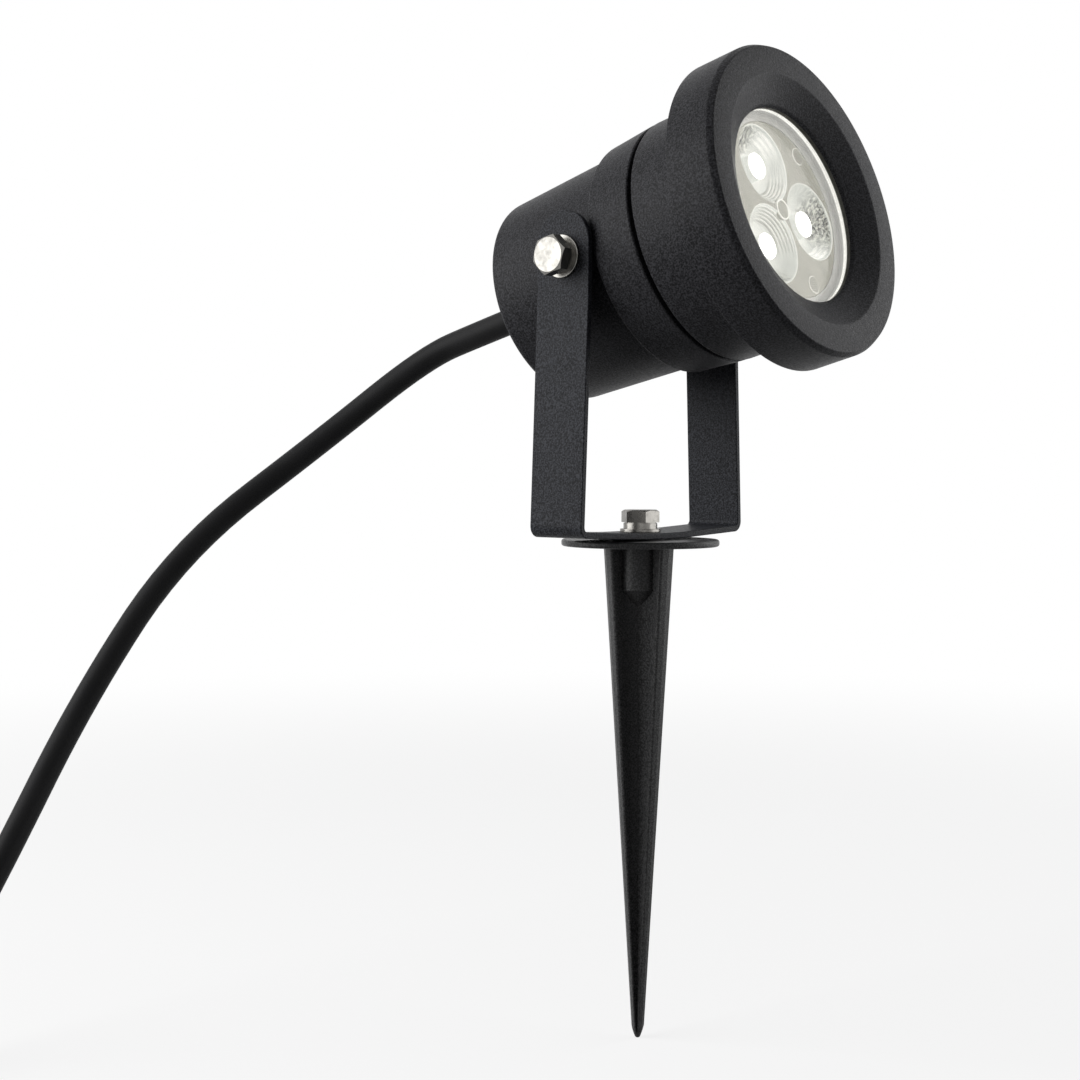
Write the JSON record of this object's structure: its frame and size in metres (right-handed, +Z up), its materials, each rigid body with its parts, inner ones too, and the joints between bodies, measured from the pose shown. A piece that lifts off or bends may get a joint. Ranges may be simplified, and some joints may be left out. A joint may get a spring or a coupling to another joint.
{
  "type": "garden spike spotlight",
  "caption": "Outdoor LED spotlight: round die-cast lamp that tilts in a strap bracket, which pans on a finned ground spike; rubber mains cord with plug.",
  "frame": {"origin": "the point of the ground spike", "axes": "+Z up along the spike, -Y the way the lamp aims at rest, X along the tilt axis"},
  "size_m": [0.3433, 0.2193, 0.2868],
  "materials": {
    "cast_spike": "black powder coat on a casting",
    "lamp_coat": "charcoal fine-grained powder coat on die-cast aluminium",
    "bracket_coat": "grey powder coat on steel strap",
    "stainless": "bright stainless steel",
    "cord_rubber": "matt black rubber cord",
    "plug_rubber": "moulded black rubber",
    "seal_rubber": "black seal",
    "tie_fabric": "woven hook-and-loop band",
    "nickel_brass": "nickel-plated brass",
    "clear_glass": "clear tempered glass",
    "pale_silicone": "translucent pale silicone",
    "dark_sleeve": "anodised sleeve",
    "clear_optic": "clear moulded acrylic lens",
    "led_phosphor": "emitter with a domed lens",
    "white_board": "white solder mask on a metal board",
    "bare_aluminium": "turned aluminium",
    "green_board": "green circuit board",
    "component_black": "moulded components",
    "terminal_plastic": "pale terminal block",
    "lead_sheath": "insulated cores",
    "gland_plastic": "black nylon"
  },
  "bodies": {
    "spike": {"spike": "cast_spike", "base_bolt": "stainless", "base_spring_washer": "stainless", "base_plain_washer": "stainless"},
    "yoke": {"yoke_bracket": "bracket_coat", "cord_lead": "cord_rubber", "cord_coil": "cord_rubber", "cord_tail": "cord_rubber", "cord_tie": "tie_fabric", "plug_body": "plug_rubber", "plug_pins": "nickel_brass", "plug_earth_clips": "nickel_brass"},
    "head": {"rear_housing": "lamp_coat", "front_bezel": "lamp_coat", "body_gasket": "seal_rubber", "glass_cover": "clear_glass", "glass_gasket": "pale_silicone", "spacer_sleeve": "dark_sleeve", "triple_optic": "clear_optic", "led_emitters": "led_phosphor", "led_board": "white_board", "board_screws": "stainless", "thermal_pad": "seal_rubber", "heat_plate": "bare_aluminium", "driver_standoffs": "nickel_brass", "driver_board": "green_board", "driver_screws": "stainless", "driver_transformer": "component_black", "driver_capacitors": "component_black", "terminal_block": "terminal_plastic", "supply_leads": "lead_sheath", "led_leads": "lead_sheath", "earth_screw": "nickel_brass", "cable_gland": "gland_plastic", "gland_washer": "seal_rubber", "gland_locknut": "gland_plastic", "strain_relief": "plug_rubber", "cord_inner_end": "cord_rubber", "pivot_bolts": "stainless", "pivot_spring_washers": "stainless", "pivot_plain_washers": "stainless"}
  },
  "joints": [
    {"name": "yoke_pan", "type": "hinge", "parent": "spike", "child": "yoke", "pos_m": [0, 0, 0.1493], "axis": [0, 0, 1], "continuous": true},
    {"name": "head_tilt", "type": "hinge", "parent": "yoke", "child": "head", "pos_m": [0, 0, 0.2288], "axis": [-1, 0, 0], "range_deg": [-60, 75], "deforming": ["cord_lead"]}
  ]
}
